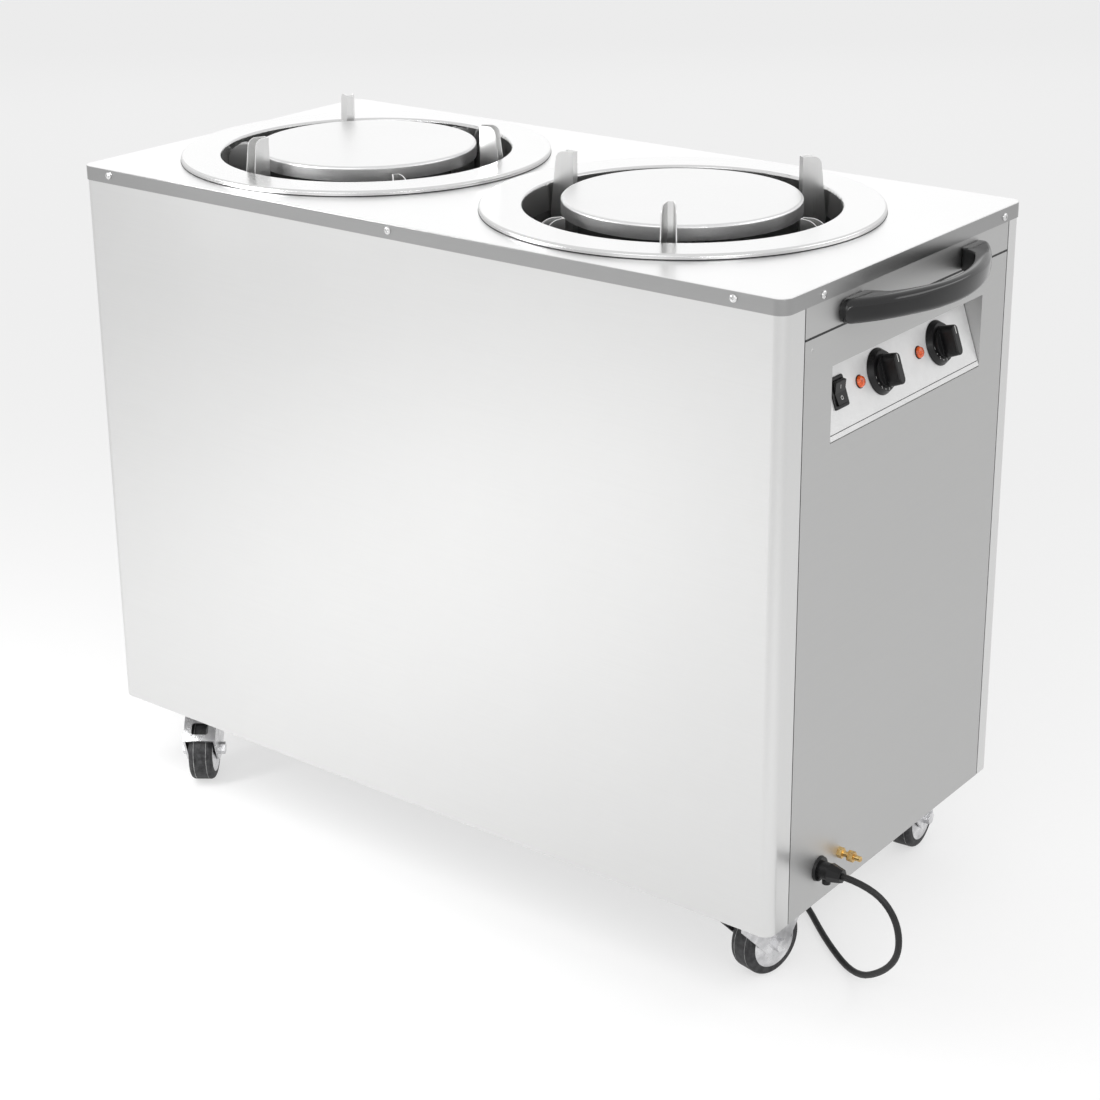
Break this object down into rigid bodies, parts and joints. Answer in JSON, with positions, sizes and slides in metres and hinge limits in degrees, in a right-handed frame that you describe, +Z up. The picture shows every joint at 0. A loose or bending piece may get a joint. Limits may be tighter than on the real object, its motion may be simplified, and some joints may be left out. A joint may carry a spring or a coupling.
{
  "type": "mobile plate dispenser",
  "caption": "Mobile heated dispenser for stacks of plates: sprung platforms in round wells, a control recess, a push handle and swivel casters.",
  "frame": {"origin": "on the floor, midway between the cabinet's left end and the handle's outer face, at mid depth", "axes": "+Z up, +X to the end with the handle and controls, -Y to the long front side"},
  "size_m": [1.0244, 0.5806, 0.8],
  "materials": {
    "stainless_panel": "satin",
    "stainless_cap": "satin",
    "stainless_ring": "satin",
    "galvanised_liner": "dull",
    "stainless_guide": "satin",
    "stainless_platform": "satin",
    "zinc_steel": "zinc plated",
    "spring_steel": "satin",
    "heater_sheath": "dull",
    "fascia_metal": "satin",
    "black_gloss": "gloss",
    "black_matt": "matt",
    "amber_lens": "gloss",
    "brass": "satin",
    "caster_zinc": "bright zinc",
    "wheel_centre": "matt",
    "wheel_tyre": "matt",
    "cord_rubber": "matt"
  },
  "bodies": {
    "cabinet": {"front_panel": "stainless_panel", "rear_panel": "stainless_panel", "left_side_panel": "stainless_panel", "right_side_panel": "stainless_panel", "right_upper_strip": "stainless_panel", "base_pan": "stainless_panel", "control_recess": "stainless_panel", "top_cap": "stainless_cap", "well_1_ring": "stainless_ring", "well_2_ring": "stainless_ring", "well_1_liner": "galvanised_liner", "well_2_liner": "galvanised_liner", "well_1_dish": "galvanised_liner", "well_2_dish": "galvanised_liner", "well_1_plate_guides": "stainless_guide", "well_2_plate_guides": "stainless_guide", "well_1_rail_fins": "stainless_guide", "well_2_rail_fins": "stainless_guide", "well_1_spring_hangers": "zinc_steel", "well_2_spring_hangers": "zinc_steel", "well_1_lifting_springs": "spring_steel", "well_2_lifting_springs": "spring_steel", "well_1_heater": "heater_sheath", "well_2_heater": "heater_sheath", "control_fascia": "fascia_metal", "push_handle": "black_gloss", "switch_frame": "black_gloss", "cable_gland": "black_matt", "thermostat_1": "black_matt", "thermostat_2": "black_matt", "pilot_lamp_1": "amber_lens", "pilot_lamp_2": "amber_lens", "bonding_terminal": "brass", "front_left_caster_plate": "caster_zinc", "front_right_caster_plate": "caster_zinc", "rear_right_caster_plate": "caster_zinc", "rear_left_caster_plate": "caster_zinc", "power_cord": "cord_rubber", "power_cord_coil": "cord_rubber", "power_cord_tail": "cord_rubber", "mains_plug": "cord_rubber"},
    "platform_1": {"well_1_platform": "stainless_platform", "well_1_carriage": "zinc_steel"},
    "platform_2": {"well_2_platform": "stainless_platform", "well_2_carriage": "zinc_steel"},
    "rocker": {"switch_rocker": "black_gloss"},
    "knob_1": {"temperature_knob_1": "black_gloss"},
    "knob_2": {"temperature_knob_2": "black_gloss"},
    "front_left_fork": {"front_left_caster_fork": "caster_zinc"},
    "front_left_wheel": {"front_left_wheel_hub": "wheel_centre", "front_left_wheel_tyre": "wheel_tyre"},
    "front_right_fork": {"front_right_caster_fork": "caster_zinc"},
    "front_right_wheel": {"front_right_wheel_hub": "wheel_centre", "front_right_wheel_tyre": "wheel_tyre"},
    "rear_right_fork": {"rear_right_caster_fork": "caster_zinc"},
    "rear_right_wheel": {"rear_right_wheel_hub": "wheel_centre", "rear_right_wheel_tyre": "wheel_tyre"},
    "rear_left_fork": {"rear_left_caster_fork": "caster_zinc"},
    "rear_left_wheel": {"rear_left_wheel_hub": "wheel_centre", "rear_left_wheel_tyre": "wheel_tyre"}
  },
  "joints": [
    {"name": "platform_1_lift", "type": "slide", "parent": "cabinet", "child": "platform_1", "axis": [0, 0, 1], "range_m": [-0.4, 0], "stiffness_N_per_m": 900, "springref_m": 0.05, "deforming": ["well_1_lifting_springs"]},
    {"name": "platform_2_lift", "type": "slide", "parent": "cabinet", "child": "platform_2", "axis": [0, 0, 1], "range_m": [-0.4, 0], "stiffness_N_per_m": 900, "springref_m": 0.05, "deforming": ["well_2_lifting_springs"]},
    {"name": "power_switch", "type": "hinge", "parent": "cabinet", "child": "rocker", "pos_m": [0.42442, -0.11, 0.63905], "axis": [0, 1, 0], "range_deg": [-16, 0]},
    {"name": "knob_1_turn", "type": "hinge", "parent": "cabinet", "child": "knob_1", "pos_m": [0.42442, -0.031, 0.63905], "axis": [0.9474, 0, 0.3199], "range_deg": [-300, 0]},
    {"name": "knob_2_turn", "type": "hinge", "parent": "cabinet", "child": "knob_2", "pos_m": [0.42442, 0.085, 0.63905], "axis": [0.9474, 0, 0.3199], "range_deg": [-300, 0]},
    {"name": "front_left_swivel", "type": "hinge", "parent": "cabinet", "child": "front_left_fork", "pos_m": [-0.4209, -0.161, 0.084], "axis": [0, 0, 1], "continuous": true},
    {"name": "front_left_roll", "type": "hinge", "parent": "front_left_fork", "child": "front_left_wheel", "pos_m": [-0.40444, -0.18365, 0.0375], "axis": [0.809, 0.5878, 0], "continuous": true},
    {"name": "front_right_swivel", "type": "hinge", "parent": "cabinet", "child": "front_right_fork", "pos_m": [0.3671, -0.161, 0.084], "axis": [0, 0, 1], "continuous": true},
    {"name": "front_right_roll", "type": "hinge", "parent": "front_right_fork", "child": "front_right_wheel", "pos_m": [0.37292, -0.13361, 0.0375], "axis": [-0.9781, 0.2079, 0], "continuous": true},
    {"name": "rear_right_swivel", "type": "hinge", "parent": "cabinet", "child": "rear_right_fork", "pos_m": [0.3671, 0.161, 0.084], "axis": [0, 0, 1], "continuous": true},
    {"name": "rear_right_roll", "type": "hinge", "parent": "rear_right_fork", "child": "rear_right_wheel", "pos_m": [0.36417, 0.18885, 0.0375], "axis": [-0.9945, -0.1045, 0], "continuous": true},
    {"name": "rear_left_swivel", "type": "hinge", "parent": "cabinet", "child": "rear_left_fork", "pos_m": [-0.4209, 0.161, 0.084], "axis": [0, 0, 1], "continuous": true},
    {"name": "rear_left_roll", "type": "hinge", "parent": "rear_left_fork", "child": "rear_left_wheel", "pos_m": [-0.44562, 0.17414, 0.0375], "axis": [-0.4695, -0.8829, 0], "continuous": true}
  ]
}
